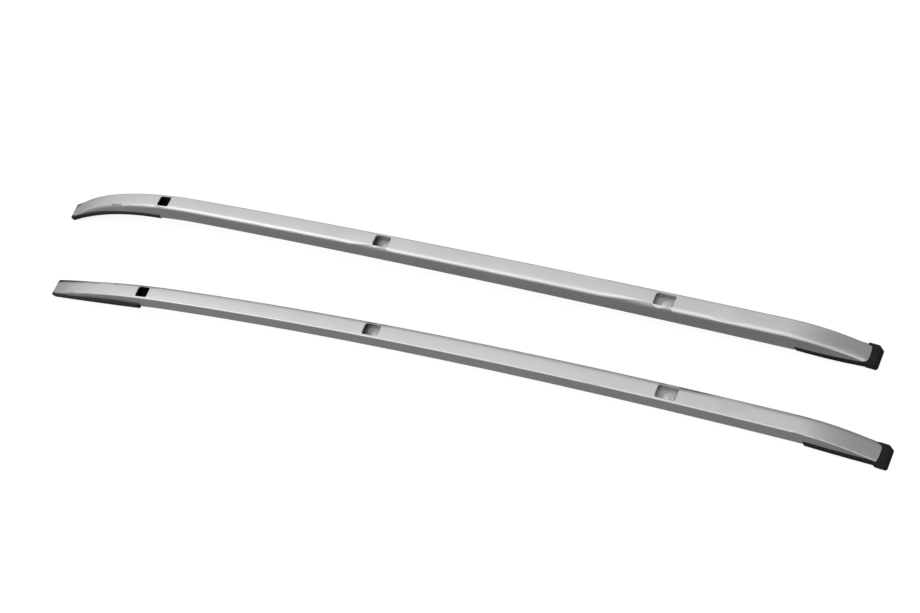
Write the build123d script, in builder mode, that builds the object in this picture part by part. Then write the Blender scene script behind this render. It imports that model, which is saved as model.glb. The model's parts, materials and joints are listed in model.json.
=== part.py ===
from build123d import *
import os
from dataclasses import dataclass
from math import atan2, cos, degrees, hypot, radians, sin, sqrt

# All sizes are in millimetres and degrees.
# A rail is drawn in its own axes: X runs along it to the front, Y points to its inner side, Z is up,
# and the origin is the top of the crown line at the middle bend.

# Section of the rail
top_width = 29.4
rail_height = 34.0
inner_flare = 9.0
outer_flare = 4.0
crown_rise = 0.7
wall = 2.2
inner_round = 9.0
outer_round = 2.8
base_round = 2.6
least_round = 0.5

# Crown line, as bends that run into each other; a bend's lean tips it to the inner side
middle_radius = 9060.0
middle_lean = -10.5
front_start = 811.0
front_radius = 221.0
front_lean = -0.4
front_tip = 949.0
rear_start = 535.0
shoulder_radius = 1356.0
shoulder_lean = 9.0
hook_start = 883.0
hook_radius = 913.0
hook_lean = 29.1
rear_tip = 1062.5
tip_spare = 16.0
front_tip_round = 8.0
rear_tip_round = 10.0

# Windows in the top of the rail, by their distance along the crown line
window_stations = {"rear": -635.0, "middle": -10.8, "front": 593.0}
window_length = 38.2
window_width = 21.8
window_round = 4.5
window_depth = 7.0

# Rubber end pads, each let into a seat that is cut across the underside of the rail
front_pad_start = 820.0
front_seat_height = -60.5
front_seat_slope = 11.5
front_seat_radius = 2200.0
front_pad_thickness = 16.0
front_pad_overhang = 11.9
front_inner_margin = -0.5
front_outer_margin = 0.8
front_flange = 13.0
rear_pad_start = -663.0
rear_seat_height = -54.1
rear_seat_slope = 6.2
rear_seat_radius = 1418.0
rear_pad_thickness = 9.7
rear_pad_overhang = 3.5
rear_inner_margin = 2.5
rear_outer_margin = 4.3
flange_inner_margin = 2.5
flange_outer_margin = 4.3
pad_corner = 4.0
pad_gap = 0.4
pad_flat = 1.2
seat_depth = 60.0
seat_reach = 60.0
seat_spare = 40.0
trim_reach = 180.0

# Fixings
bolt_offset = -11.0
thread_diameter = 8.0
thread_length = 22.0
thread_chamfer = 1.0
neck_diameter = 7.0
head_diameter = 15.0
head_height = 5.2
head_round = 2.4
socket_flats = 5.5
socket_depth = 3.4
bolt_hole_diameter = 8.8
bolt_hole_spare = 2.2
washer_diameter = 21.0
washer_thickness = 1.8
washer_round = 0.5
seal_diameter = 22.0
seal_thickness = 3.0
seal_round = 0.8
seal_gap = 0.06

# Standing of the pair on a flat floor
rail_spacing = 172.0
toe_in = 1.12
stagger = 70.6


@dataclass(frozen=True)
class Foot:
    """One end of a rail: the seat's arc, the pad on it and the tip of the rail above it."""

    ahead: int
    start: float
    height: float
    slope: float
    radius: float
    thickness: float
    tip: float
    overhang: float
    tip_round: float
    inner_margin: float
    outer_margin: float
    flange: float

    def centre(self):
        """Centre of the seat's arc, as X and Z."""
        lean = radians(self.slope)
        return self.start - self.ahead * self.radius * sin(lean), self.height - self.radius * cos(lean)

    def seat_height(self, x):
        """Height of the seat at a place along the rail."""
        centre_x, centre_z = self.centre()
        return centre_z + sqrt(self.radius**2 - (x - centre_x) ** 2)


front_foot = Foot(
    1, front_pad_start, front_seat_height, front_seat_slope, front_seat_radius,
    front_pad_thickness, front_tip, front_pad_overhang, front_tip_round,
    front_inner_margin, front_outer_margin, front_flange,
)
rear_foot = Foot(
    -1, rear_pad_start, rear_seat_height, rear_seat_slope, rear_seat_radius,
    rear_pad_thickness, -rear_tip, rear_pad_overhang, rear_tip_round,
    rear_inner_margin, rear_outer_margin, 0.0,
)
feet = {"front": front_foot, "rear": rear_foot}

# Each bend is the distance along the crown line where it ends, its radius and its lean
front_bends = [
    (front_start, middle_radius, middle_lean),
    (front_tip + tip_spare, front_radius, front_lean),
]
rear_bends = [
    (rear_start, middle_radius, middle_lean),
    (hook_start, shoulder_radius, shoulder_lean),
    (rear_tip + tip_spare, hook_radius, hook_lean),
]


def bend_axis(at, radius, lean, ahead):
    """Axis that a cross-section swings about, below the crown and leaning to the inner side."""
    tip = radians(lean)
    centre = at.origin + at.x_dir * (radius * sin(tip)) - at.y_dir * (radius * cos(tip))
    return Axis(centre, (at.x_dir * cos(tip) + at.y_dir * sin(tip)) * ahead)


def swing(at, length, radius, lean, ahead):
    """Cross-section plane after it has travelled a length along a bend."""
    axis = bend_axis(at, radius, lean, ahead)
    angle = degrees(length / radius)
    arm = (at.origin - axis.position).rotate(axis, angle)
    return Plane(
        axis.position + arm,
        x_dir=at.x_dir.rotate(axis, angle),
        z_dir=at.z_dir.rotate(axis, angle),
    )


def station(distance):
    """Cross-section plane at a distance along the crown line, to the front if positive."""
    ahead = 1 if distance >= 0 else -1
    at = Plane.YZ
    done = 0.0
    for end, radius, lean in front_bends if ahead > 0 else rear_bends:
        step = min(abs(distance), end) - done
        if step > 0:
            at = swing(at, step, radius, lean, ahead)
            done += step
    return at


def level(distance, depth):
    """Plane across the rail at a depth below the crown, X along the rail and Z up."""
    at = station(distance)
    return Plane(at.origin - at.y_dir * depth, x_dir=at.z_dir, z_dir=at.y_dir)


def outline(inset, rise):
    """Section outline, drawn inwards by an inset, with its corners rounded."""
    inner_lean = hypot(rail_height, inner_flare) / rail_height
    outer_lean = hypot(rail_height, outer_flare) / rail_height
    top = -crown_rise - inset
    base = -rail_height + inset

    def inner(z):
        """Inner side of the outline at a height."""
        return top_width / 2 - inner_flare * z / rail_height - inset * inner_lean

    def outer(z):
        """Outer side of the outline at a height."""
        return -top_width / 2 + outer_flare * z / rail_height + inset * outer_lean

    with BuildSketch() as shape:
        with BuildLine():
            if rise:
                ThreePointArc((outer(top), top), (0, top + rise), (inner(top), top))
            else:
                Line((outer(top), top), (inner(top), top))
            Polyline((inner(top), top), (inner(base), base), (outer(base), base), (outer(top), top))
        make_face()
        fillet(shape.vertices().group_by(Axis.Y)[0], radius=max(base_round - inset, least_round))
        for place, radius in ((-1, inner_round), (0, outer_round)):
            upper = shape.vertices().filter_by_position(Axis.Y, -rail_height / 2, 0)
            fillet(upper.sort_by(Axis.X)[place], radius=max(radius - inset, least_round))
    return shape.sketch


def rail_section(at):
    """Hollow section with a crisp outer top edge, a well rounded inner one and flared sides."""
    skin = outline(0, crown_rise)
    hollow = outline(wall, 0)
    with BuildSketch(at) as section:
        add(skin)
        add(hollow, mode=Mode.SUBTRACT)
    return section.sketch


def foot_sector(foot, depth, gap):
    """Band under a seat, from its inner end to past the tip, to a depth below the seat."""
    start = 90 - foot.ahead * (foot.slope + degrees(gap / foot.radius))
    length = abs(station(foot.tip).origin.X - foot.start) + foot.overhang + seat_spare
    sweep = -foot.ahead * degrees(length / foot.radius)
    with BuildSketch(Plane.XZ) as band:
        with BuildLine():
            top = CenterArc(foot.centre(), foot.radius, start, sweep)
            low = CenterArc(foot.centre(), foot.radius - depth, start, sweep)
            Line(top @ 0, low @ 0)
            Line(top @ 1, low @ 1)
        make_face()
    return band.sketch


def pad_edge(foot, distance, side, margin, beyond=0.0):
    """Point of a pad's outline seen from above, beside the rail's side where it meets the seat."""
    at = station(distance)
    height = at.origin.Z - foot.seat_height(at.origin.X)
    flare = inner_flare if side > 0 else outer_flare
    reach = top_width / 2 + flare * height / rail_height + margin
    point = at.origin + at.x_dir * (side * reach) + at.z_dir * (foot.ahead * beyond)
    return point.X, point.Y


def pad_outline(foot):
    """Outline of a pad seen from above: it follows the rail's sides and passes the tip, with or without a flange."""
    first = foot.start - foot.ahead * pad_corner
    middle = (foot.start + foot.tip) / 2
    stations = ((first, 0.0), (middle, 0.0), (foot.tip, foot.overhang))
    inner = [pad_edge(foot, distance, 1, foot.inner_margin, beyond) for distance, beyond in stations]
    outer = [pad_edge(foot, distance, -1, foot.outer_margin, beyond) for distance, beyond in stations]
    flange = [
        pad_edge(foot, foot.tip, side, margin, beyond)
        for side, margin, beyond in (
            (1, flange_inner_margin, -foot.flange),
            (1, flange_inner_margin, foot.overhang),
            (-1, flange_outer_margin, foot.overhang),
            (-1, flange_outer_margin, -foot.flange),
        )
    ]
    with BuildSketch(Plane.XY) as shape:
        with BuildLine():
            ThreePointArc(*inner)
            Line(inner[-1], outer[-1])
            ThreePointArc(*outer)
            Line(outer[0], inner[0])
        make_face()
        if foot.flange:
            with BuildLine():
                Polyline(*flange, close=True)
            make_face()
        fillet(shape.vertices().sort_by(Axis.X, reverse=foot.ahead > 0)[:2], radius=pad_corner)
    return shape.sketch


def tip_trim(foot):
    """Region past the tip of the rail, leaving an end with rounded corners."""
    at = station(foot.tip)
    across = top_width + inner_flare + outer_flare
    past = foot.tip_round + tip_spare * 2
    along = Vector(at.z_dir.X, at.z_dir.Y, 0) * foot.ahead
    with BuildSketch(Plane(Vector(at.origin.X, at.origin.Y, 0), x_dir=along, z_dir=(0, 0, 1))) as trim:
        with Locations((past / 2 - foot.tip_round, 0)):
            Rectangle(past, across * 2)
        with Locations((-across, 0)):
            RectangleRounded(across * 2, top_width + 2 * least_round, foot.tip_round, mode=Mode.SUBTRACT)
    return trim.sketch


# One rail, in its own axes
floor_depth = rail_height - wall
bends = [
    (-rear_start, rear_start + front_start, middle_radius, middle_lean, 1),
    (front_start, front_tip + tip_spare - front_start, front_radius, front_lean, 1),
    (-rear_start, hook_start - rear_start, shoulder_radius, shoulder_lean, -1),
    (-hook_start, rear_tip + tip_spare - hook_start, hook_radius, hook_lean, -1),
]
with BuildPart() as rail:
    for begin, length, radius, lean, ahead in bends:
        at = station(begin)
        axis = bend_axis(at, radius, lean, ahead)
        revolve(rail_section(at), axis=axis, revolution_arc=degrees(length / radius))
    for foot in feet.values():
        extrude(foot_sector(foot, seat_depth, 0), amount=seat_reach, both=True, mode=Mode.SUBTRACT)
        extrude(tip_trim(foot), amount=trim_reach, both=True, mode=Mode.SUBTRACT)
    for distance in window_stations.values():
        with BuildSketch(level(distance, -crown_rise)):
            RectangleRounded(window_length, window_width, window_round)
        extrude(amount=-window_depth, mode=Mode.SUBTRACT)
        with BuildSketch(level(distance + bolt_offset, floor_depth - bolt_hole_spare)):
            Circle(bolt_hole_diameter / 2)
        extrude(amount=-wall - 2 * bolt_hole_spare, mode=Mode.SUBTRACT)

# The end pads
pads = {}
for name, foot in feet.items():
    with BuildPart() as pad:
        extrude(foot_sector(foot, foot.thickness, pad_gap), amount=seat_reach, both=True)
        extrude(pad_outline(foot), amount=trim_reach, both=True, mode=Mode.INTERSECT)
    pads[name] = pad.part

# The fixings under each window
bolts = {}
washers = {}
seals = {}
neck_length = washer_thickness + wall + seal_gap + seal_thickness
for name, distance in window_stations.items():
    place = distance + bolt_offset
    with BuildPart() as washer:
        with BuildSketch(level(place, floor_depth)):
            Circle(washer_diameter / 2)
            Circle(bolt_hole_diameter / 2, mode=Mode.SUBTRACT)
        extrude(amount=washer_thickness)
        fillet(washer.edges().filter_by(GeomType.CIRCLE).sort_by(SortBy.RADIUS)[-2:], radius=washer_round)
    washers[name] = washer.part

    with BuildPart() as bolt:
        seat = level(place, floor_depth - washer_thickness)
        with BuildSketch(seat):
            Circle(head_diameter / 2)
        extrude(amount=head_height)
        fillet(bolt.edges().sort_by(Axis(seat.origin, seat.z_dir))[-1], radius=head_round)
        with BuildSketch(seat.offset(head_height)):
            RegularPolygon(socket_flats / 2, 6, major_radius=False)
        extrude(amount=-socket_depth, mode=Mode.SUBTRACT)
        with BuildSketch(seat):
            Circle(neck_diameter / 2)
        extrude(amount=-neck_length)
        with BuildSketch(seat.offset(-neck_length)):
            Circle(thread_diameter / 2)
        extrude(amount=-thread_length)
        chamfer(bolt.edges().sort_by(Axis(seat.origin, seat.z_dir))[0], length=thread_chamfer)
    bolts[name] = bolt.part

    with BuildPart() as seal:
        with BuildSketch(level(place, rail_height + seal_gap)):
            Circle(seal_diameter / 2)
            Circle(bolt_hole_diameter / 2, mode=Mode.SUBTRACT)
        extrude(amount=-seal_thickness)
        fillet(seal.edges().filter_by(GeomType.CIRCLE).sort_by(SortBy.RADIUS)[-2:], radius=seal_round)
    seals[name] = seal.part

# How a rail stands on the floor: level on the low edges of its two pads, which the floor presses flat
rear_low = pads["rear"].vertices().sort_by(Axis.Z)[0]
front_low = pads["front"].vertices().sort_by(Axis.Z)[0]
pitch = degrees(atan2(front_low.Z - rear_low.Z, front_low.X - rear_low.X))
stance = Location((0, 0, 0), (0, 0, toe_in)) * Location((0, 0, 0), (0, pitch, 0))
reach = pads["rear"].moved(stance).bounding_box().add(pads["front"].moved(stance).bounding_box())
lift = -reach.min.Z - pad_flat
right_place = Location((stagger / 2 - (reach.min.X + reach.max.X) / 2, -rail_spacing / 2, lift)) * stance

# The pair: the right rail as drawn, and the left rail as its mirror image, a little further back
os.makedirs("parts", exist_ok=True)
pieces = {"rail": rail.part}
for name in feet:
    pieces[f"{name}_pad"] = pads[name]
for name in window_stations:
    pieces[f"{name}_bolt"] = bolts[name]
    pieces[f"{name}_washer"] = washers[name]
    pieces[f"{name}_seal"] = seals[name]
for name, blank in pieces.items():
    with BuildPart() as right_piece:
        with Locations(right_place):
            add(blank)
        if name.endswith("pad"):
            split(bisect_by=Plane.XY, keep=Keep.TOP)
    with BuildPart() as left_piece:
        with Locations((-stagger, 0, 0)):
            add(mirror(right_piece.part, about=Plane.XZ, mode=Mode.PRIVATE))
    for side, piece in (("right", right_piece), ("left", left_piece)):
        piece.part.label = f"{side}_{name}"
        export_step(piece.part, f"parts/{side}_{name}.step")
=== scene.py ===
"""Roof side rail pair: arched aluminium rails with windows, rubber end pads and bolts."""

import json
import logging
import math
from collections.abc import Callable
from dataclasses import dataclass
from enum import Enum, IntEnum
from typing import Any, Union

import bpy
from mathutils import Matrix, Vector


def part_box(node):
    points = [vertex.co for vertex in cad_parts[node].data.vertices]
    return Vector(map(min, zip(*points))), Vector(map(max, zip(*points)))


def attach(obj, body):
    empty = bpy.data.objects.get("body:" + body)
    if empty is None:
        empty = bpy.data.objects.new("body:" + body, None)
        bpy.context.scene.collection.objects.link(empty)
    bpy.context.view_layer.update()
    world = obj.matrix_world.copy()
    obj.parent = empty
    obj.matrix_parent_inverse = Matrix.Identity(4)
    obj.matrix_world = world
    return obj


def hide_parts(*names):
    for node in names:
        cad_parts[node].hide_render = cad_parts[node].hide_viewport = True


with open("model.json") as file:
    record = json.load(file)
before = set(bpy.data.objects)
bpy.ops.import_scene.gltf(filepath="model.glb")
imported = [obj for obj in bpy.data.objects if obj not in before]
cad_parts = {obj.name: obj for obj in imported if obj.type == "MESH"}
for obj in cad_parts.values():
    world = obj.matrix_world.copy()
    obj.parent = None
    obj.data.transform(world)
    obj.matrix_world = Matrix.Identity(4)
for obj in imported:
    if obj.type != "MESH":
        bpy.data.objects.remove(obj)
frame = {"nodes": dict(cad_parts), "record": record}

LOG = logging.getLogger("roof_rails")
MM = 0.001
BODY = "root"
CURVATURE = "true_normal"
EDGE_WEIGHT = "bevel_weight_edge"
PATTERN_MEAN = 0.5
FACING_DOWN = -0.9
ALL_SMOOTH = 180.0

Colour = tuple[float, float, float, float]
Triple = tuple[float, float, float]
Term = Union["Signal", float]


class Side(Enum):
    """Which rail of the pair a piece belongs to."""

    RIGHT = "right"
    LEFT = "left"


class End(Enum):
    """Which end of a rail a pad lies under."""

    FRONT = "front"
    REAR = "rear"


class Spot(Enum):
    """Which window of a rail a fixing sits in."""

    REAR = "rear"
    MIDDLE = "middle"
    FRONT = "front"


class Slot(Enum):
    """The record's material slots."""

    ANODISED = "anodised"
    RUBBER = "rubber"
    STEEL = "steel"


class FaceKind(IntEnum):
    """Material numbers that tell a piece's faces apart while its edges are broken."""

    SOLID = 0
    ROUNDED = 1


class RailFace(IntEnum):
    """Material numbers of a finished rail."""

    OUTSIDE = 0
    INSIDE = 1


class MixSocket(IntEnum):
    """Sockets of a Mix node for colours."""

    SHARE = 0
    RESULT = 2
    FIRST = 6
    SECOND = 7


class Signal:
    """A value in a shader: wraps a socket, so that a plain expression adds its Math nodes."""

    def __init__(self, graph: "ShaderGraph", socket: bpy.types.NodeSocket) -> None:
        """Keeps the socket and the graph that new nodes go to."""
        self.graph = graph
        self.socket = socket

    def _math(self, operation: str, first: Term, second: Term) -> "Signal":
        """Adds one Math node and returns its value."""
        return self.graph.node("ShaderNodeMath", {"operation": operation}, {0: first, 1: second})

    def __add__(self, other: Term) -> "Signal":
        """This value plus another."""
        return self._math("ADD", self, other)

    def __radd__(self, other: Term) -> "Signal":
        """Another value plus this one."""
        return self._math("ADD", other, self)

    def __sub__(self, other: Term) -> "Signal":
        """This value less another."""
        return self._math("SUBTRACT", self, other)

    def __rsub__(self, other: Term) -> "Signal":
        """Another value less this one."""
        return self._math("SUBTRACT", other, self)

    def __mul__(self, other: Term) -> "Signal":
        """This value times another."""
        return self._math("MULTIPLY", self, other)

    def __rmul__(self, other: Term) -> "Signal":
        """Another value times this one."""
        return self._math("MULTIPLY", other, self)

    def __pow__(self, other: Term) -> "Signal":
        """This value to a power."""
        return self._math("POWER", self, other)

    def at_least(self, other: Term) -> "Signal":
        """The larger of this value and another."""
        return self._math("MAXIMUM", self, other)

    def at_most(self, other: Term) -> "Signal":
        """The smaller of this value and another."""
        return self._math("MINIMUM", self, other)

    def held(self) -> "Signal":
        """This value, held between 0 and 1."""
        return self.at_least(0.0).at_most(1.0)

    def swing(self, amount: float) -> "Signal":
        """How far a pattern strays from its mean, times an amount."""
        return (self - PATTERN_MEAN) * amount


@dataclass(frozen=True)
class Pattern:
    """A noise pattern: cells per metre, number of finer layers and the share of each."""

    scale: float
    layers: float
    layer_share: float = 0.5


class ShaderGraph:
    """A node tree that is filled by one node-making method."""

    def __init__(self, tree: bpy.types.NodeTree) -> None:
        """Empties the tree."""
        self.tree = tree
        self.tree.nodes.clear()

    def node(
        self,
        kind: str,
        settings: dict[str, Any] | None = None,
        inputs: dict[str | int, Any] | None = None,
        output: str | int = 0,
    ) -> Signal:
        """Adds a node.

        Args:
            kind: Blender's type name of the node.
            settings: attributes of the node, set before its sockets are filled.
            inputs: values or signals for its input sockets, by name or number.
            output: name or number of the socket that is wanted.

        Returns:
            The wanted output as a signal.
        """
        made = self.tree.nodes.new(kind)
        for name, value in (settings or {}).items():
            setattr(made, name, value)
        for key, value in (inputs or {}).items():
            if isinstance(value, Signal):
                self.tree.links.new(value.socket, made.inputs[key])
            else:
                made.inputs[key].default_value = value
        return Signal(self, made.outputs[output] if len(made.outputs) else None)

    def place(self) -> Signal:
        """Place on the piece."""
        return self.node("ShaderNodeTexCoord", {}, {}, "Object")

    def stretched(self, scale: Triple) -> Signal:
        """Place on the piece with each axis scaled."""
        return self.node("ShaderNodeMapping", {}, {"Vector": self.place(), "Scale": scale})

    def noise(self, vector: Signal, pattern: Pattern) -> Signal:
        """Adds a noise pattern.

        Args:
            vector: place on the piece.
            pattern: the pattern's fineness.

        Returns:
            The pattern, about 0.5 on average.
        """
        values = {
            "Vector": vector,
            "Scale": pattern.scale,
            "Detail": pattern.layers,
            "Roughness": pattern.layer_share,
        }
        return self.node("ShaderNodeTexNoise", {}, values, "Fac")

    def blend(self, share: Signal, first: Colour, second: Colour) -> Signal:
        """Adds a colour between two.

        Args:
            share: the second colour's share, from 0 to 1.
            first: the colour at 0.
            second: the colour at 1.

        Returns:
            The mixed colour.
        """
        values = {MixSocket.SHARE: share, MixSocket.FIRST: first, MixSocket.SECOND: second}
        return self.node("ShaderNodeMix", {"data_type": "RGBA"}, values, MixSocket.RESULT)

    def relief(self, height: Signal, strength: float, depth: float) -> Signal:
        """Adds a bump.

        Args:
            height: the pattern that stands up.
            strength: how much of it shows.
            depth: its height in metres.

        Returns:
            The bumped normal.
        """
        values = {"Strength": strength, "Distance": depth, "Height": height}
        return self.node("ShaderNodeBump", {}, values)

    def surface(self, values: dict[str, Any]) -> None:
        """Ends the graph with a surface shader.

        Args:
            values: values or signals for the shader's sockets.
        """
        shader = self.node("ShaderNodeBsdfPrincipled", {}, values)
        self.node("ShaderNodeOutputMaterial", {}, {"Surface": shader})


def new_material(name: str) -> tuple[bpy.types.Material, ShaderGraph]:
    """Makes a new material.

    Args:
        name: the material's name.

    Returns:
        The material and its empty graph.
    """
    material = bpy.data.materials.new(name)
    material.use_nodes = True
    return material, ShaderGraph(material.node_tree)


@dataclass(frozen=True)
class AnodisedAluminium:
    """Satin anodised extrusion: fine drawing lines along the rail, soft clouding, an even grey."""

    pale: Colour = (0.77, 0.772, 0.775, 1.0)
    deep: Colour = (0.66, 0.663, 0.668, 1.0)
    line_stretch: Triple = (5.0, 1300.0, 1300.0)
    line: Pattern = Pattern(1.0, 3.0, 0.6)
    cloud: Pattern = Pattern(7.0, 3.0)
    pit: Pattern = Pattern(4200.0, 1.0)
    paleness: float = 0.5
    line_paleness: float = 0.5
    cloud_paleness: float = 0.7
    roughness: float = 0.34
    line_roughness: float = 0.1
    pit_roughness: float = 0.06
    cloud_roughness: float = 0.05
    line_height: float = 0.7
    pit_height: float = 0.3
    bump: float = 0.1
    bump_depth: float = 0.04 * MM

    def material(self) -> bpy.types.Material:
        """Builds the finish.

        Returns:
            The finish as a material.
        """
        material, graph = new_material("satin_anodised_aluminium")
        place = graph.place()
        line = graph.noise(graph.stretched(self.line_stretch), self.line)
        cloud = graph.noise(place, self.cloud)
        pit = graph.noise(place, self.pit)
        share = self.paleness + line.swing(self.line_paleness) + cloud.swing(self.cloud_paleness)
        roughness = self.roughness + line.swing(self.line_roughness) + pit.swing(self.pit_roughness)
        height = line * self.line_height + pit * self.pit_height
        shader = {
            "Base Color": graph.blend(share, self.deep, self.pale),
            "Metallic": 1.0,
            "Roughness": roughness + cloud.swing(self.cloud_roughness),
            "Normal": graph.relief(height, self.bump, self.bump_depth),
        }
        graph.surface(shader)
        return material


@dataclass(frozen=True)
class MillFinish:
    """Bare extruded aluminium inside the hollow section: dull, pale and lightly streaked."""

    pale: Colour = (0.64, 0.64, 0.635, 1.0)
    dull: Colour = (0.42, 0.42, 0.415, 1.0)
    streak_stretch: Triple = (9.0, 420.0, 420.0)
    streak: Pattern = Pattern(1.0, 3.0, 0.6)
    bloom: Pattern = Pattern(60.0, 3.0)
    paleness: float = 0.6
    streak_paleness: float = 0.8
    bloom_paleness: float = 0.6
    metallic: float = 0.1
    roughness: float = 0.68
    streak_roughness: float = 0.2

    def material(self) -> bpy.types.Material:
        """Builds the finish.

        Returns:
            The finish as a material.
        """
        material, graph = new_material("mill_finish_lining")
        streak = graph.noise(graph.stretched(self.streak_stretch), self.streak)
        bloom = graph.noise(graph.place(), self.bloom)
        share = self.paleness + streak.swing(self.streak_paleness)
        share = (share + bloom.swing(self.bloom_paleness)).held()
        shader = {
            "Base Color": graph.blend(share, self.dull, self.pale),
            "Metallic": self.metallic,
            "Roughness": self.roughness + streak.swing(self.streak_roughness),
        }
        graph.surface(shader)
        return material


@dataclass(frozen=True)
class MouldedRubber:
    """Matt black moulded rubber with a spark-eroded grain and a trace of dust in the hollows."""

    black: Colour = (0.007, 0.007, 0.0075, 1.0)
    dusty: Colour = (0.021, 0.021, 0.022, 1.0)
    grain: Pattern = Pattern(1900.0, 2.0, 0.6)
    mottle: Pattern = Pattern(55.0, 4.0, 0.6)
    mottle_dust: float = 0.8
    grain_dust: float = 0.5
    dust_from: float = 0.35
    sheen: float = 0.18
    roughness: float = 0.62
    mottle_roughness: float = 0.2
    grain_roughness: float = 0.12
    bump: float = 0.35
    bump_depth: float = 0.08 * MM

    def material(self) -> bpy.types.Material:
        """Builds the finish.

        Returns:
            The finish as a material.
        """
        material, graph = new_material("moulded_rubber")
        place = graph.place()
        grain = graph.noise(place, self.grain)
        mottle = graph.noise(place, self.mottle)
        dust = mottle * self.mottle_dust + grain * self.grain_dust - self.dust_from
        roughness = self.roughness + mottle.swing(self.mottle_roughness)
        shader = {
            "Base Color": graph.blend(dust.held(), self.black, self.dusty),
            "Specular IOR Level": self.sheen,
            "Roughness": roughness + grain.swing(self.grain_roughness),
            "Normal": graph.relief(grain, self.bump, self.bump_depth),
        }
        graph.surface(shader)
        return material


@dataclass(frozen=True)
class ZincSteel:
    """Pale zinc plate on steel: cloudy passivation, fine crystals and a dull sheen."""

    bright: Colour = (0.93, 0.93, 0.92, 1.0)
    clouded: Colour = (0.82, 0.83, 0.84, 1.0)
    cloud: Pattern = Pattern(160.0, 3.0, 0.55)
    crystal: Pattern = Pattern(2600.0, 2.0)
    brightness: float = 0.75
    cloud_brightness: float = 1.2
    crystal_brightness: float = 0.4
    metallic: float = 0.25
    roughness: float = 0.4
    cloud_roughness: float = 0.15
    crystal_roughness: float = 0.1
    bump: float = 0.12
    bump_depth: float = 0.05 * MM

    def material(self) -> bpy.types.Material:
        """Builds the finish.

        Returns:
            The finish as a material.
        """
        material, graph = new_material("zinc_plated_steel")
        place = graph.place()
        cloud = graph.noise(place, self.cloud)
        crystal = graph.noise(place, self.crystal)
        share = self.brightness + cloud.swing(self.cloud_brightness)
        share = (share + crystal.swing(self.crystal_brightness)).held()
        roughness = self.roughness + cloud.swing(self.cloud_roughness)
        shader = {
            "Base Color": graph.blend(share, self.clouded, self.bright),
            "Metallic": self.metallic,
            "Roughness": roughness + crystal.swing(self.crystal_roughness),
            "Normal": graph.relief(crystal, self.bump, self.bump_depth),
        }
        graph.surface(shader)
        return material


@dataclass(frozen=True)
class Finishes:
    """The finishes of the object, built once."""

    anodised: bpy.types.Material
    lining: bpy.types.Material
    rubber: bpy.types.Material
    steel: bpy.types.Material

    @classmethod
    def made(cls) -> "Finishes":
        """Builds all four.

        Returns:
            The finishes as materials.
        """
        return cls(
            AnodisedAluminium().material(),
            MillFinish().material(),
            MouldedRubber().material(),
            ZincSteel().material(),
        )


def select_only(piece: bpy.types.Object) -> None:
    """Makes a piece the active one and the only selected one.

    Args:
        piece: the piece to select.
    """
    bpy.ops.object.select_all(action="DESELECT")
    piece.select_set(True)
    bpy.context.view_layer.objects.active = piece


def edit_all(piece: bpy.types.Object) -> None:
    """Opens a piece in edit mode with everything selected.

    Args:
        piece: the piece to open.
    """
    select_only(piece)
    bpy.ops.object.mode_set(mode="EDIT")
    bpy.ops.mesh.select_all(action="SELECT")


def edit_done() -> None:
    """Goes back to object mode."""
    bpy.ops.object.mode_set(mode="OBJECT")


def pick_verts(piece: bpy.types.Object, wanted: Callable[[Vector], bool]) -> None:
    """Selects the vertices that pass a test, in edit mode.

    Args:
        piece: the piece that is open.
        wanted: a test that takes a vertex's place.
    """
    bpy.ops.mesh.select_mode(type="VERT")
    bpy.ops.mesh.select_all(action="DESELECT")
    bpy.ops.object.mode_set(mode="OBJECT")
    for vertex in piece.data.vertices:
        vertex.select = wanted(vertex.co)
    bpy.ops.object.mode_set(mode="EDIT")


def pick_faces(piece: bpy.types.Object, wanted: Callable[[Vector, Vector], bool]) -> None:
    """Selects the faces that pass a test, in edit mode.

    Args:
        piece: the piece that is open.
        wanted: a test that takes a face's centre and normal.
    """
    bpy.ops.mesh.select_mode(type="FACE")
    bpy.ops.mesh.select_all(action="DESELECT")
    bpy.ops.object.mode_set(mode="OBJECT")
    for face in piece.data.polygons:
        face.select = wanted(face.center, face.normal)
    bpy.ops.object.mode_set(mode="EDIT")


def apply_modifier(piece: bpy.types.Object, kind: str, settings: dict[str, Any]) -> None:
    """Adds a modifier to a piece and applies it.

    Args:
        piece: the piece to change.
        kind: Blender's type name of the modifier.
        settings: its settings.
    """
    select_only(piece)
    modifier = piece.modifiers.new(kind.lower(), kind)
    for name, value in settings.items():
        setattr(modifier, name, value)
    bpy.ops.object.modifier_apply(modifier=modifier.name)


def smooth(piece: bpy.types.Object, degrees: float) -> None:
    """Shades a piece smooth, except across edges that are sharper than an angle.

    Args:
        piece: the piece to shade.
        degrees: the sharpest angle that is still smooth.
    """
    select_only(piece)
    bpy.ops.object.shade_smooth_by_angle(angle=math.radians(degrees))


def dress(piece: bpy.types.Object, material: bpy.types.Material) -> None:
    """Gives a piece its finish.

    Args:
        piece: the piece to dress.
        material: its finish.
    """
    piece.data.materials.clear()
    piece.data.materials.append(material)
    for face in piece.data.polygons:
        face.material_index = 0


def report(piece: bpy.types.Object) -> None:
    """Logs a finished piece's name and number of faces."""
    LOG.info("%s: %d faces", piece.name, len(piece.data.polygons))


@dataclass(frozen=True)
class Zone:
    """A box in which sharp edges are rounded, by its lowest and highest corner."""

    low: Vector
    high: Vector

    def holds(self, place: Vector) -> bool:
        """Whether a place lies in the box."""
        return all(self.low[axis] <= place[axis] <= self.high[axis] for axis in range(3))


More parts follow.
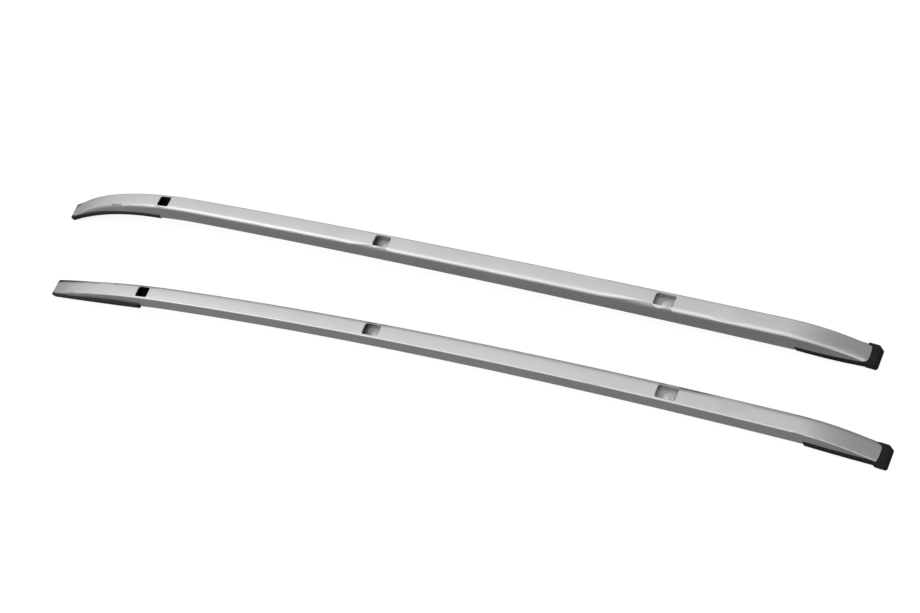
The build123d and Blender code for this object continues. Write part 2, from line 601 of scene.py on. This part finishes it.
@dataclass(frozen=True)
class EdgeBreak:
    """The small rounding along a piece's sharp edges, on a copy of its solid.

    Attributes:
        width: width of the rounding.
        sharp: angle in degrees from which an edge counts as sharp.
        curved: angle in degrees up to which normals at a vertex belong to one curved surface.
        calm_rounds: how often the shading near the piece's ends is evened out.
        calm_ends: share of the length, at each end, where that happens.
        calm_pull: how strongly a corner's normal follows the others of its triangle there.
        merge: distance within which loose corners are joined.
    """

    width: float
    sharp: float = 48.0
    curved: float = 35.0
    calm_rounds: int = 0
    calm_ends: float = 0.16
    calm_pull: float = 0.4
    merge: float = 0.004 * MM

    def copy_of(self, node: str, name: str, zones: list[Zone]) -> bpy.types.Object:
        """Copies a solid, joins its loose triangles, breaks its edges and keeps its true curvature.

        Args:
            node: the solid's node.
            name: the new piece's name.
            zones: where sharp edges are rounded.

        Returns:
            The new piece, which stands for the node.
        """
        source = frame["nodes"][node]
        piece = bpy.data.objects.new(name, source.data.copy())
        bpy.context.scene.collection.objects.link(piece)
        self._note_curvature(piece)
        edit_all(piece)
        bpy.ops.mesh.customdata_custom_splitnormals_clear()
        bpy.ops.mesh.remove_doubles(threshold=self.merge)
        edit_done()
        self._mark(piece, zones)
        piece.data.materials.clear()
        for _ in FaceKind:
            piece.data.materials.append(None)
        rounding = {
            "width": self.width,
            "segments": 1,
            "limit_method": "WEIGHT",
            "use_clamp_overlap": True,
            "material": FaceKind.ROUNDED,
        }
        apply_modifier(piece, "BEVEL", rounding)
        smooth(piece, ALL_SMOOTH)
        self._give_curvature(piece)
        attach(piece, BODY)
        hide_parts(node)
        return piece

    @staticmethod
    def _note_curvature(piece: bpy.types.Object) -> None:
        """Writes the solid's true normals down at every corner of its triangles.

        Args:
            piece: the fresh copy of the solid.
        """
        mesh = piece.data
        flat = [part for corner in mesh.corner_normals for part in corner.vector]
        noted = mesh.attributes.new(CURVATURE, "FLOAT_VECTOR", "CORNER")
        noted.data.foreach_set("vector", flat)

    def _give_curvature(self, piece: bpy.types.Object) -> None:
        """Shades the piece with the normals that were written down; a rounded edge keeps its own.

        Args:
            piece: the piece whose edges are finished.
        """
        mesh = piece.data
        noted = mesh.attributes[CURVATURE]
        normals = self._shared(mesh, [Vector(corner.vector) for corner in noted.data])
        for _ in range(self.calm_rounds):
            normals = self._shared(mesh, self._calmed(mesh, normals))
        mesh.attributes.remove(noted)
        mesh.normals_split_custom_set(normals)

    def _shared(self, mesh: bpy.types.Mesh, normals: list[Vector]) -> list[Vector]:
        """Evens out the normals of the corners that meet smoothly at a vertex.

        Args:
            mesh: the piece's mesh.
            normals: one normal for each corner.

        Returns:
            The evened normals; a rounded edge has its own flat ones.
        """
        limit = math.cos(math.radians(self.curved))
        around: dict[int, list[tuple[Vector, float]]] = {}
        for face in mesh.polygons:
            if face.material_index != FaceKind.ROUNDED:
                for loop in face.loop_indices:
                    meeting = around.setdefault(mesh.loops[loop].vertex_index, [])
                    meeting.append((normals[loop], face.area))
        evened = list(normals)
        for face in mesh.polygons:
            for loop in face.loop_indices:
                if face.material_index == FaceKind.ROUNDED:
                    evened[loop] = face.normal.copy()
                    continue
                total = Vector()
                for other, area in around[mesh.loops[loop].vertex_index]:
                    if other.dot(normals[loop]) > limit:
                        total += other * area
                evened[loop] = total.normalized() if total.length > 0.0 else normals[loop]
        return evened

    def _calmed(self, mesh: bpy.types.Mesh, normals: list[Vector]) -> list[Vector]:
        """Draws each corner's normal towards those of its own triangle, near the piece's ends.

        Args:
            mesh: the piece's mesh.
            normals: one normal for each corner.

        Returns:
            The calmer normals.
        """
        limit = math.cos(math.radians(self.curved))
        start = min(vertex.co.x for vertex in mesh.vertices)
        length = max(vertex.co.x for vertex in mesh.vertices) - start
        calmer = list(normals)
        for face in mesh.polygons:
            share = (face.center.x - start) / length
            if self.calm_ends < share < 1.0 - self.calm_ends:
                continue
            for loop in face.loop_indices:
                total = normals[loop].copy()
                for other in face.loop_indices:
                    if other != loop and normals[other].dot(normals[loop]) > limit:
                        total += normals[other] * self.calm_pull
                calmer[loop] = total.normalized()
        return calmer

    def _mark(self, piece: bpy.types.Object, zones: list[Zone]) -> None:
        """Marks the sharp edges in the zones for rounding.

        Args:
            piece: the piece whose edges are marked.
            zones: where sharp edges are rounded.
        """
        mesh = piece.data
        sides: dict[tuple[int, int], list[Vector]] = {}
        for face in mesh.polygons:
            for key in face.edge_keys:
                sides.setdefault(key, []).append(face.normal.copy())
        weights = mesh.attributes.new(EDGE_WEIGHT, "FLOAT", "EDGE")
        limit = math.cos(math.radians(self.sharp))
        for edge in mesh.edges:
            normals = sides.get(tuple(sorted(edge.vertices)), [])
            if len(normals) != 2 or normals[0].dot(normals[1]) > limit:
                continue
            ends = [mesh.vertices[index].co for index in edge.vertices]
            if any(zone.holds(ends[0]) and zone.holds(ends[1]) for zone in zones):
                weights.data[edge.index].value = 1.0


@dataclass
class Rail:
    """One hollow rail: the bent extrusion with its windows and trimmed tips.

    Attributes:
        side: which rail it is.
        finishes: the object's finishes.
        edge: the rounding of the windows' rims.
        window_reach: how far a rim's zone reaches past the window's box.
        window_above: how far the window's box stands above its rim.
        slices: number of slices in which the section's middle is looked for.
        top_share: share of the section's half height above which a face is never inside.
        lined: shares of the length between which the inside has its own finish.
    """

    side: Side
    finishes: Finishes
    edge: EdgeBreak = EdgeBreak(0.5 * MM, calm_rounds=3)
    window_reach: Triple = (5.0 * MM, 4.0 * MM, 3.5 * MM)
    window_above: float = 8.0 * MM
    slices: int = 80
    top_share: float = 0.7
    lined: tuple[float, float] = (0.3, 0.9)

    def build(self) -> bpy.types.Object:
        """Builds the rail's skin and dresses it, inside and out.

        Returns:
            The rail's skin.
        """
        node = f"{self.side.value}_rail"
        piece = self.edge.copy_of(node, f"{node}_skin", self.windows())
        dress(piece, self.finishes.anodised)
        piece.data.materials.append(self.finishes.lining)
        self._line(piece)
        report(piece)
        return piece

    def windows(self) -> list[Zone]:
        """Finds the rims of the rail's windows, from the record's openings.

        Returns:
            One zone for each window.
        """
        reach = Vector(self.window_reach)
        zones = []
        for row in frame["record"]["physics"]["openings"]:
            if row["name"].startswith(self.side.value) and row["name"].endswith("window"):
                low, high = (Vector(corner) for corner in row["box_m"])
                low.z = high.z = high.z - self.window_above
                zones.append(Zone(low - reach, high + reach))
        return zones

    def _line(self, piece: bpy.types.Object) -> None:
        """Gives the faces that look at the middle of the hollow section the inside's own finish.

        Args:
            piece: the rail's skin.
        """
        places = [vertex.co for vertex in piece.data.vertices]
        start = min(place.x for place in places)
        length = max(place.x for place in places) - start
        step = length / self.slices
        rows: dict[int, list[Vector]] = {}
        for face in piece.data.polygons:
            row = rows.setdefault(int((face.center.x - start) / step), [])
            row.extend(places[index] for index in face.vertices)
        middles: dict[int, Vector] = {}
        tops: dict[int, float] = {}
        for number, row in rows.items():
            low = Vector((0.0, min(place.y for place in row), min(place.z for place in row)))
            high = Vector((0.0, max(place.y for place in row), max(place.z for place in row)))
            middles[number] = (low + high) / 2
            tops[number] = self.top_share * (high.z - low.z) / 2
        for face in piece.data.polygons:
            along = face.center.x - start
            number = int(along / step)
            outwards = face.center - middles[number]
            outwards.x = 0.0
            lined = self.lined[0] < along / length < self.lined[1] and outwards.z < tops[number]
            if lined and outwards.dot(face.normal) < 0.0:
                face.material_index = RailFace.INSIDE


@dataclass
class EndPad:
    """One rubber pad under a rail's end, with rounded moulded edges."""

    side: Side
    end: End
    finishes: Finishes
    edge: EdgeBreak = EdgeBreak(0.7 * MM)

    def build(self) -> bpy.types.Object:
        """Builds the pad's moulding and dresses it.

        Returns:
            The pad's moulding.
        """
        node = f"{self.side.value}_{self.end.value}_pad"
        piece = self.edge.copy_of(node, f"{node}_moulding", [Zone(*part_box(node))])
        dress(piece, self.finishes.rubber)
        report(piece)
        return piece


@dataclass
class Bolt:
    """A socket head bolt with a plain neck and a rolled thread, its thread's top at the origin.

    Attributes:
        thread_sides: number of sides of the thread's profile.
        thread_sunk: how deep the thread's ridge is sunk into the core.
        thread_start: how far below the neck the first turn begins, in pitches.
        thread_foot: width of the ridge at its foot, in pitches.
        thread_crest: width of the ridge at its crest, as a share of its foot.
        point_share: width of the point's end, as a share of the core.
        slack: how near to a height a place counts as on it.
    """

    finishes: Finishes
    head_radius: float = 7.5 * MM
    head_height: float = 5.2 * MM
    head_round: float = 2.4 * MM
    head_steps: int = 6
    socket_flats: float = 5.5 * MM
    socket_depth: float = 3.4 * MM
    socket_sides: int = 6
    rim_width: float = 0.25 * MM
    rim_steps: int = 2
    rim_angle: float = 50.0
    neck_radius: float = 3.5 * MM
    neck_length: float = 7.06 * MM
    core_radius: float = 3.3 * MM
    thread_radius: float = 3.99 * MM
    thread_length: float = 22.0 * MM
    thread_pitch: float = 1.25 * MM
    thread_sides: int = 4
    thread_sunk: float = 0.15 * MM
    thread_start: float = 0.6
    thread_foot: float = 0.96
    thread_crest: float = 0.16
    point_length: float = 1.0 * MM
    point_share: float = 0.78
    turns: int = 16
    steps: int = 24
    sectors: int = 48
    shade_angle: float = 35.0
    slack: float = 0.1 * MM
    merge: float = 0.001 * MM

    def blank(self) -> bpy.types.Object:
        """Models one bolt at the origin.

        Returns:
            The bolt, with its thread joined to its shank.
        """
        shank = self._shank()
        ridge = self._ridge()
        select_only(shank)
        ridge.select_set(True)
        bpy.ops.object.join()
        smooth(shank, self.shade_angle)
        dress(shank, self.finishes.steel)
        return shank

    def _shank(self) -> bpy.types.Object:
        """Draws head, neck, core and point out of one cylinder and cuts the socket into the head.

        Returns:
            The bolt without its thread.
        """
        bpy.ops.object.select_all(action="DESELECT")
        bpy.ops.mesh.primitive_cylinder_add(
            vertices=self.sectors,
            radius=self.head_radius,
            depth=self.head_height,
            location=(0.0, 0.0, self.neck_length + self.head_height / 2),
        )
        piece = bpy.context.active_object
        piece.name = "bolt_blank"
        bpy.ops.object.transform_apply(location=True, rotation=True, scale=True)
        edit_all(piece)
        top = self.neck_length + self.head_height
        pick_verts(piece, lambda place: place.z > top - self.slack)
        bpy.ops.mesh.bevel(offset=self.head_round, segments=self.head_steps, affect="EDGES")
        under = self.neck_length + self.slack
        pick_faces(piece, lambda place, normal: normal.z < FACING_DOWN and place.z < under)
        bpy.ops.mesh.inset(thickness=self.head_radius - self.neck_radius)
        self._draw_out(self.neck_length, self.core_radius / self.neck_radius)
        self._draw_out(self.thread_length - self.point_length, 1.0)
        self._draw_out(self.point_length, self.point_share)
        edit_done()
        self._cut_socket(piece, top)
        return piece

    @staticmethod
    def _draw_out(length: float, share: float) -> None:
        """Draws the selected end face down by a length and then shrinks it by a share."""
        bpy.ops.mesh.extrude_region_move(TRANSFORM_OT_translate={"value": (0.0, 0.0, -length)})
        bpy.ops.transform.resize(value=(share, share, 1.0))

    def _cut_socket(self, piece: bpy.types.Object, top: float) -> None:
        """Cuts the six-sided socket into the head and breaks its rim.

        Args:
            piece: the bolt without its thread.
            top: height of the head's top.
        """
        bpy.ops.object.select_all(action="DESELECT")
        bpy.ops.mesh.primitive_cylinder_add(
            vertices=self.socket_sides,
            radius=self.socket_flats / math.sqrt(3.0),
            depth=self.socket_depth * 2,
            location=(0.0, 0.0, top),
        )
        cutter = bpy.context.active_object
        cut = {"operation": "DIFFERENCE", "object": cutter, "solver": "EXACT"}
        apply_modifier(piece, "BOOLEAN", cut)
        bpy.data.objects.remove(cutter, do_unlink=True)
        rim = {
            "width": self.rim_width,
            "segments": self.rim_steps,
            "limit_method": "ANGLE",
            "angle_limit": math.radians(self.rim_angle),
        }
        apply_modifier(piece, "BEVEL", rim)

    def _ridge(self) -> bpy.types.Object:
        """Winds the thread's tapered profile round the core and closes it at both ends.

        Returns:
            The thread's ridge.
        """
        depth = self.thread_radius - self.core_radius + self.thread_sunk
        middle = self.thread_radius - depth / 2
        bpy.ops.object.select_all(action="DESELECT")
        bpy.ops.mesh.primitive_plane_add(
            size=1.0,
            location=(middle, 0.0, -self.thread_pitch * self.thread_start),
            rotation=(math.pi / 2, 0.0, 0.0),
        )
        piece = bpy.context.active_object
        piece.name = "thread_ridge"
        piece.scale = (depth, self.thread_pitch * self.thread_foot, 1.0)
        bpy.ops.object.transform_apply(location=True, rotation=True, scale=True)
        edit_all(piece)
        pick_verts(piece, lambda place: place.x > middle)
        bpy.ops.transform.resize(value=(1.0, 1.0, self.thread_crest))
        bpy.ops.mesh.select_all(action="SELECT")
        bpy.ops.mesh.delete(type="ONLY_FACE")
        edit_done()
        winding = {
            "axis": "Z",
            "angle": 2 * math.pi,
            "screw_offset": -self.thread_pitch,
            "iterations": self.turns,
            "steps": self.steps,
            "render_steps": self.steps,
            "use_merge_vertices": False,
        }
        apply_modifier(piece, "SCREW", winding)
        edit_all(piece)
        bpy.ops.mesh.remove_doubles(threshold=self.merge)
        bpy.ops.mesh.select_all(action="SELECT")
        bpy.ops.mesh.fill_holes(sides=self.thread_sides)
        bpy.ops.mesh.select_all(action="SELECT")
        bpy.ops.mesh.normals_make_consistent(inside=False)
        edit_done()
        return piece


@dataclass
class Fixing:
    """The bolt, washer and seal under one window."""

    side: Side
    spot: Spot
    finishes: Finishes
    free_length: float = 21.0 * MM

    def place(self) -> Matrix:
        """Finds where the bolt's drawing goes, from the record's mount.

        Returns:
            The drawing's place: thread downwards, with the thread's top where the mount begins.
        """
        name = f"{self.side.value}_{self.spot.value}_stud"
        mount = next(row for row in frame["record"]["mounts"] if row["name"] == name)
        down = Vector(mount["axis"]).normalized()
        if down.z > 0:
            down = -down
        up = -down
        along = (Vector((1.0, 0.0, 0.0)) - up * up.x).normalized()
        turn = Matrix((along, up.cross(along), up)).transposed().to_4x4()
        start = Vector(mount["pos_m"]) - down * self.free_length / 2
        return Matrix.Translation(start) @ turn

    def build(self, blank: bpy.types.Object) -> bpy.types.Object:
        """Copies the bolt to its place and dresses the washer and the seal.

        Args:
            blank: the bolt that was modelled at the origin.

        Returns:
            The bolt in its place.
        """
        stem = f"{self.side.value}_{self.spot.value}"
        piece = bpy.data.objects.new(f"{stem}_bolt_threaded", blank.data.copy())
        bpy.context.scene.collection.objects.link(piece)
        piece.data.transform(self.place())
        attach(piece, BODY)
        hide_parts(f"{stem}_bolt")
        report(piece)
        washer = frame["nodes"][f"{stem}_washer"]
        dress(washer, self.finishes.steel)
        report(washer)
        seal = frame["nodes"][f"{stem}_seal"]
        dress(seal, self.finishes.rubber)
        report(seal)
        return piece


@dataclass(frozen=True)
class PhotoCamera:
    """Camera at the photograph's viewing angle; the picture is 920 by 613."""

    place: Triple = (2.10997, -0.85579, 2.28355)
    right: Triple = (0.765676, 0.393837, -0.50856)
    down: Triple = (0.14098, -0.874166, -0.464712)
    forward: Triple = (-0.627587, 0.284122, -0.724851)
    focal_pixels: float = 1717.4
    picture_width: float = 920.0
    sensor: float = 36.0

    def build(self) -> bpy.types.Object:
        """Makes the camera and hands it to the scene.

        Returns:
            The camera.
        """
        data = bpy.data.cameras.new("photo_camera")
        data.sensor_fit = "HORIZONTAL"
        data.sensor_width = self.sensor
        data.lens = self.sensor * self.focal_pixels / self.picture_width
        camera = bpy.data.objects.new("photo_camera", data)
        bpy.context.scene.collection.objects.link(camera)
        columns = (Vector(self.right), -Vector(self.down), -Vector(self.forward))
        turn = Matrix(columns).transposed().to_4x4()
        camera.matrix_world = Matrix.Translation(Vector(self.place)) @ turn
        bpy.context.scene.camera = camera
        return camera


@dataclass(frozen=True)
class Glow:
    """A soft bright area of the studio, as a direction, a strength and a tightness."""

    direction: Triple
    strength: float
    tightness: float


@dataclass(frozen=True)
class Studio:
    """Plain pale floor, soft light from behind and above, and a white background."""

    floor_size: float = 60.0
    floor_grey: Colour = (0.19, 0.19, 0.19, 1.0)
    floor_roughness: float = 0.9
    floor_white: float = 0.86
    glossy_share: float = 0.02
    ambient: float = 0.29
    glows: tuple[Glow, ...] = (
        Glow((-0.6, 0.14, 0.79), 0.56, 3.0),
        Glow((-0.48, -0.6, 0.64), 0.8, 7.0),
        Glow((-0.96, 0.2, 0.1), 0.3, 20.0),
        Glow((0.6, -0.74, 0.3), 0.6, 4.0),
    )
    lamp_place: Triple = (-2.1, -0.6, 1.3)
    lamp_size: float = 1.6
    lamp_power: float = 3.0
    overhead_from: Triple = (0.45, -0.2, 0.87)
    overhead_power: float = 1.6
    overhead_spread: float = 26.0

    def build(self) -> None:
        """Lays the floor, lights the scene and sets the plain view transform."""
        bpy.context.scene.view_settings.view_transform = "Standard"
        self._floor()
        self._world()
        self._lamp()
        self._overhead()

    def _white(self, graph: ShaderGraph) -> Signal:
        """Tells how much of the white background a ray sees.

        Args:
            graph: the floor's or the world's graph.

        Returns:
            The white's share, from 0 to 1.
        """
        camera = graph.node("ShaderNodeLightPath", {}, {}, "Is Camera Ray")
        through = graph.node("ShaderNodeLightPath", {}, {}, "Is Transmission Ray")
        glossy = graph.node("ShaderNodeLightPath", {}, {}, "Is Glossy Ray")
        return (camera + through + glossy * self.glossy_share).at_most(1.0)

    def _floor(self) -> None:
        """Lays the floor, grey under the light and white to the camera, for the object's shadow."""
        bpy.ops.object.select_all(action="DESELECT")
        bpy.ops.mesh.primitive_plane_add(size=self.floor_size)
        floor = bpy.context.active_object
        floor.name = "studio_floor"
        material, graph = new_material("pale_floor")
        shader = {
            "Base Color": self.floor_grey,
            "Roughness": self.floor_roughness,
            "Specular IOR Level": 0.0,
            "Emission Color": self._white(graph),
            "Emission Strength": self.floor_white,
        }
        graph.surface(shader)
        floor.data.materials.append(material)

    def _world(self) -> None:
        """Makes soft light all round, brighter behind and above the object."""
        world = bpy.data.worlds.new("soft_studio")
        world.use_nodes = True
        bpy.context.scene.world = world
        graph = ShaderGraph(world.node_tree)
        towards = graph.node("ShaderNodeTexCoord", {}, {}, "Generated")
        dot = {"operation": "DOT_PRODUCT"}
        light: Term = self.ambient
        for glow in self.glows:
            centre = tuple(Vector(glow.direction).normalized())
            near = graph.node("ShaderNodeVectorMath", dot, {0: towards, 1: centre}, "Value")
            light = light + near.at_least(0.0) ** glow.tightness * glow.strength
        white = self._white(graph)
        shown = {"Color": light * (1.0 - white) + white, "Strength": 1.0}
        sky = graph.node("ShaderNodeBackground", {}, shown)
        graph.node("ShaderNodeOutputWorld", {}, {"Surface": sky})

    @staticmethod
    def _hung(data: bpy.types.Light, direction: Triple) -> bpy.types.Object:
        """Adds a lamp to the scene, turned to face the object.

        Args:
            data: the lamp's light.
            direction: where the lamp is, seen from the object.

        Returns:
            The lamp, still at the origin.
        """
        lamp = bpy.data.objects.new(data.name, data)
        bpy.context.scene.collection.objects.link(lamp)
        lamp.rotation_mode = "QUATERNION"
        lamp.rotation_quaternion = (-Vector(direction)).to_track_quat("-Z", "Y")
        return lamp

    def _lamp(self) -> None:
        """Hangs one large soft lamp, up and to the side, for the sheen along the edges."""
        data = bpy.data.lights.new("soft_lamp", "AREA")
        data.shape = "DISK"
        data.size = self.lamp_size
        data.energy = self.lamp_power
        self._hung(data, self.lamp_place).location = self.lamp_place

    def _overhead(self) -> None:
        """Hangs a wide soft light that reaches into the windows and isn't mirrored in the metal."""
        data = bpy.data.lights.new("overhead_light", "SUN")
        data.energy = self.overhead_power
        data.angle = math.radians(self.overhead_spread)
        self._hung(data, self.overhead_from).visible_glossy = False


def main() -> None:
    """Builds the pair, piece by piece, then the studio and the camera."""
    logging.basicConfig(level=logging.INFO, format="%(name)s %(message)s")
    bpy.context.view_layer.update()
    finishes = Finishes.made()
    blank = Bolt(finishes).blank()
    for side in Side:
        Rail(side, finishes).build()
        for end in End:
            EndPad(side, end, finishes).build()
        for spot in Spot:
            Fixing(side, spot, finishes).build(blank)
    bpy.data.objects.remove(blank, do_unlink=True)
    Studio().build()
    PhotoCamera().build()
    bpy.context.view_layer.update()


if __name__ == "__main__":
    main()
